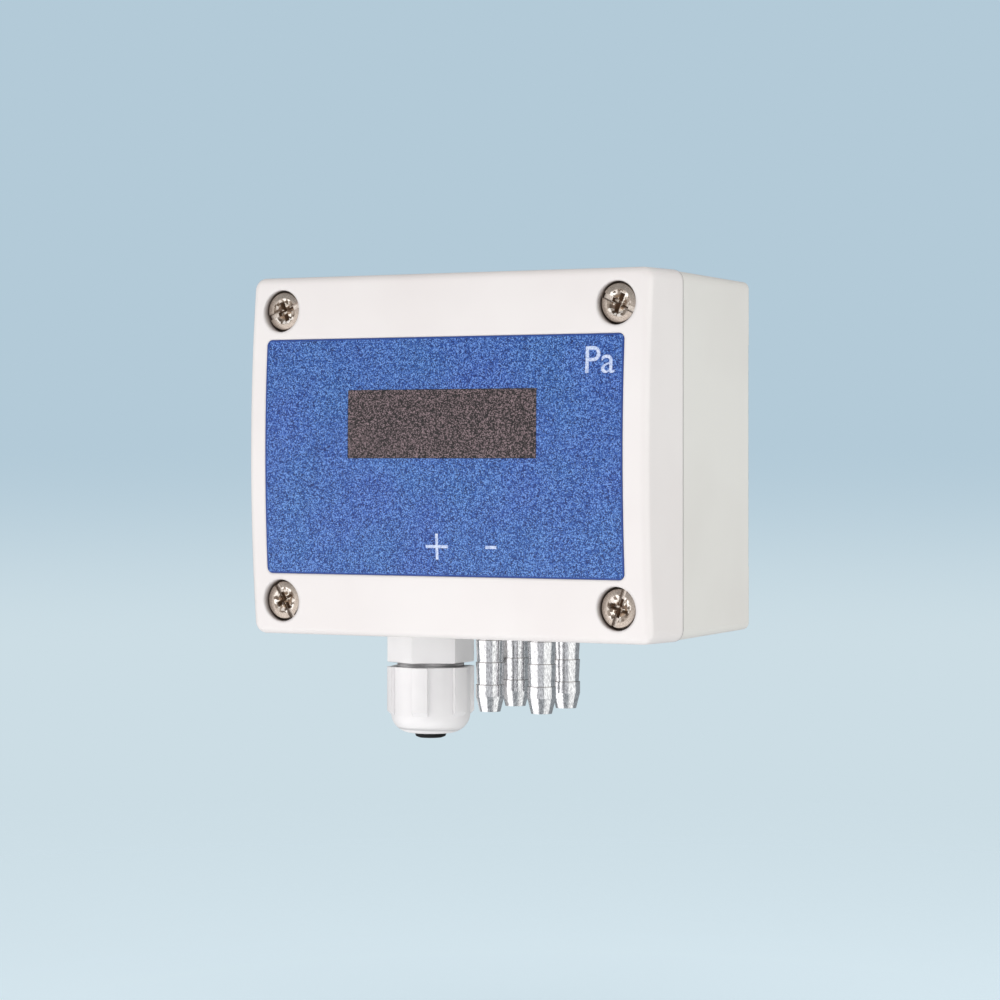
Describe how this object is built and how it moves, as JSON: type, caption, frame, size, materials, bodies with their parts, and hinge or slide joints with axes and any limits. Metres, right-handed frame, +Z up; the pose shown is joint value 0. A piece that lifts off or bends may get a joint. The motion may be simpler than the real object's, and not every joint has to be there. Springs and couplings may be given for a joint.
{
  "type": "differential pressure transmitter",
  "caption": "Wall-mounted differential pressure transmitter with a display window, a cable gland and hose-barb nozzles below a bowed, screwed cover.",
  "frame": {"origin": "centre of the wall face, at the feet, halfway up the box", "axes": "+Y into the wall, +Z up, +X to the right as seen from the front"},
  "size_m": [0.115, 0.0571, 0.1176],
  "materials": {
    "abs_white": "fine satin moulded ABS",
    "gasket_foam": "matt",
    "label_foil": "blue, fine velvet grain",
    "window_pane": "smoked, fine velvet grain",
    "steel_screw": "nickel-plated",
    "black_rubber": "matt",
    "nylon_white": "moulded nylon",
    "turned_aluminium": "bright turned",
    "brass_nut": "turned",
    "silicone_tube": "translucent milky",
    "circuit_green": "solder mask",
    "sensor_case": "moulded",
    "terminal_green": "moulded",
    "black_plastic": "moulded",
    "button_plastic": "moulded",
    "capacitor_can": "satin",
    "ferrite": "sintered",
    "lamp_resin": "clear resin",
    "gold_pins": "gold-plated"
  },
  "bodies": {
    "housing": {"base_housing": "abs_white", "gland_body": "nylon_white", "gland_o_ring": "black_rubber", "gland_locknut": "nylon_white", "main_board": "circuit_green", "board_screws": "steel_screw", "pressure_sensor_1": "sensor_case", "pressure_sensor_2": "sensor_case", "terminal_block": "terminal_green", "zero_switch": "black_plastic", "jumper_pins": "gold_pins", "microcontroller": "black_plastic", "capacitors": "capacitor_can", "power_inductor": "ferrite", "status_leds": "lamp_resin", "display_standoffs": "nylon_white", "display_board": "circuit_green", "display_screws": "steel_screw", "display_header": "gold_pins", "led_display": "black_plastic", "nozzle_1": "turned_aluminium", "nozzle_2": "turned_aluminium", "nozzle_3": "turned_aluminium", "nozzle_4": "turned_aluminium", "nozzle_nut_1": "brass_nut", "nozzle_nut_2": "brass_nut", "nozzle_nut_3": "brass_nut", "nozzle_nut_4": "brass_nut", "pressure_tube_1": "silicone_tube", "pressure_tube_2": "silicone_tube", "pressure_tube_3": "silicone_tube", "pressure_tube_4": "silicone_tube"},
    "cover": {"cover": "abs_white", "cover_gasket": "gasket_foam", "front_label": "label_foil", "display_window": "window_pane"},
    "screw_retainer_1": {"screw_retainer_1": "black_rubber"},
    "cover_screw_1": {"cover_screw_1": "steel_screw"},
    "screw_retainer_2": {"screw_retainer_2": "black_rubber"},
    "cover_screw_2": {"cover_screw_2": "steel_screw"},
    "screw_retainer_3": {"screw_retainer_3": "black_rubber"},
    "cover_screw_3": {"cover_screw_3": "steel_screw"},
    "screw_retainer_4": {"screw_retainer_4": "black_rubber"},
    "cover_screw_4": {"cover_screw_4": "steel_screw"},
    "gland_seal": {"gland_seal": "black_rubber"},
    "gland_nut": {"gland_nut": "nylon_white"},
    "terminal_screw_1": {"terminal_screw_1": "steel_screw"},
    "terminal_screw_2": {"terminal_screw_2": "steel_screw"},
    "terminal_screw_3": {"terminal_screw_3": "steel_screw"},
    "terminal_screw_4": {"terminal_screw_4": "steel_screw"},
    "terminal_screw_5": {"terminal_screw_5": "steel_screw"},
    "terminal_screw_6": {"terminal_screw_6": "steel_screw"},
    "zero_button": {"zero_button": "button_plastic"},
    "jumper_shunt": {"jumper_shunt": "black_plastic"}
  },
  "joints": [
    {"name": "cover_lift", "type": "slide", "parent": "housing", "child": "cover", "axis": [0, -1, 0], "range_m": [0, 0.06]},
    {"name": "screw_1_rise", "type": "slide", "parent": "cover", "child": "screw_retainer_1", "axis": [0, -1, 0], "range_m": [0, 0.008]},
    {"name": "screw_1_turn", "type": "hinge", "parent": "screw_retainer_1", "child": "cover_screw_1", "pos_m": [-0.0484, -0.057, 0.0365], "axis": [0, -1, 0], "range_deg": [0, 1800]},
    {"name": "screw_2_rise", "type": "slide", "parent": "cover", "child": "screw_retainer_2", "axis": [0, -1, 0], "range_m": [0, 0.008]},
    {"name": "screw_2_turn", "type": "hinge", "parent": "screw_retainer_2", "child": "cover_screw_2", "pos_m": [0.0484, -0.057, 0.0365], "axis": [0, -1, 0], "range_deg": [0, 1800]},
    {"name": "screw_3_rise", "type": "slide", "parent": "cover", "child": "screw_retainer_3", "axis": [0, -1, 0], "range_m": [0, 0.008]},
    {"name": "screw_3_turn", "type": "hinge", "parent": "screw_retainer_3", "child": "cover_screw_3", "pos_m": [-0.0484, -0.057, -0.0365], "axis": [0, -1, 0], "range_deg": [0, 1800]},
    {"name": "screw_4_rise", "type": "slide", "parent": "cover", "child": "screw_retainer_4", "axis": [0, -1, 0], "range_m": [0, 0.008]},
    {"name": "screw_4_turn", "type": "hinge", "parent": "screw_retainer_4", "child": "cover_screw_4", "pos_m": [0.0484, -0.057, -0.0365], "axis": [0, -1, 0], "range_deg": [0, 1800]},
    {"name": "gland_nut_drop", "type": "slide", "parent": "housing", "child": "gland_seal", "axis": [0, 0, -1], "range_m": [0, 0.0075]},
    {"name": "gland_nut_turn", "type": "hinge", "parent": "gland_seal", "child": "gland_nut", "pos_m": [-0.0261, -0.02, -0.05424], "axis": [0, 0, -1], "range_deg": [0, 1800]},
    {"name": "terminal_1_turn", "type": "hinge", "parent": "housing", "child": "terminal_screw_1", "pos_m": [-0.04507, -0.0195, -0.01525], "axis": [0, -1, 0], "range_deg": [0, 1080]},
    {"name": "terminal_2_turn", "type": "hinge", "parent": "housing", "child": "terminal_screw_2", "pos_m": [-0.04127, -0.0195, -0.01525], "axis": [0, -1, 0], "range_deg": [0, 1080]},
    {"name": "terminal_3_turn", "type": "hinge", "parent": "housing", "child": "terminal_screw_3", "pos_m": [-0.03746, -0.0195, -0.01525], "axis": [0, -1, 0], "range_deg": [0, 1080]},
    {"name": "terminal_4_turn", "type": "hinge", "parent": "housing", "child": "terminal_screw_4", "pos_m": [-0.03365, -0.0195, -0.01525], "axis": [0, -1, 0], "range_deg": [0, 1080]},
    {"name": "terminal_5_turn", "type": "hinge", "parent": "housing", "child": "terminal_screw_5", "pos_m": [-0.02984, -0.0195, -0.01525], "axis": [0, -1, 0], "range_deg": [0, 1080]},
    {"name": "terminal_6_turn", "type": "hinge", "parent": "housing", "child": "terminal_screw_6", "pos_m": [-0.02602, -0.0195, -0.01525], "axis": [0, -1, 0], "range_deg": [0, 1080]},
    {"name": "zero_press", "type": "slide", "parent": "housing", "child": "zero_button", "axis": [0, 1, 0], "range_m": [0, 0.00025], "stiffness_N_per_m": 400, "springref_m": -0.001},
    {"name": "jumper_pull", "type": "slide", "parent": "housing", "child": "jumper_shunt", "axis": [0, -1, 0], "range_m": [0, 0.01]}
  ],
  "couplings": [
    {"joint": "screw_1_turn", "follows": "screw_1_rise", "rad_per_m": 3927},
    {"joint": "screw_2_turn", "follows": "screw_2_rise", "rad_per_m": 3927},
    {"joint": "screw_3_turn", "follows": "screw_3_rise", "rad_per_m": 3927},
    {"joint": "screw_4_turn", "follows": "screw_4_rise", "rad_per_m": 3927},
    {"joint": "gland_nut_turn", "follows": "gland_nut_drop", "rad_per_m": 4188.8}
  ]
}
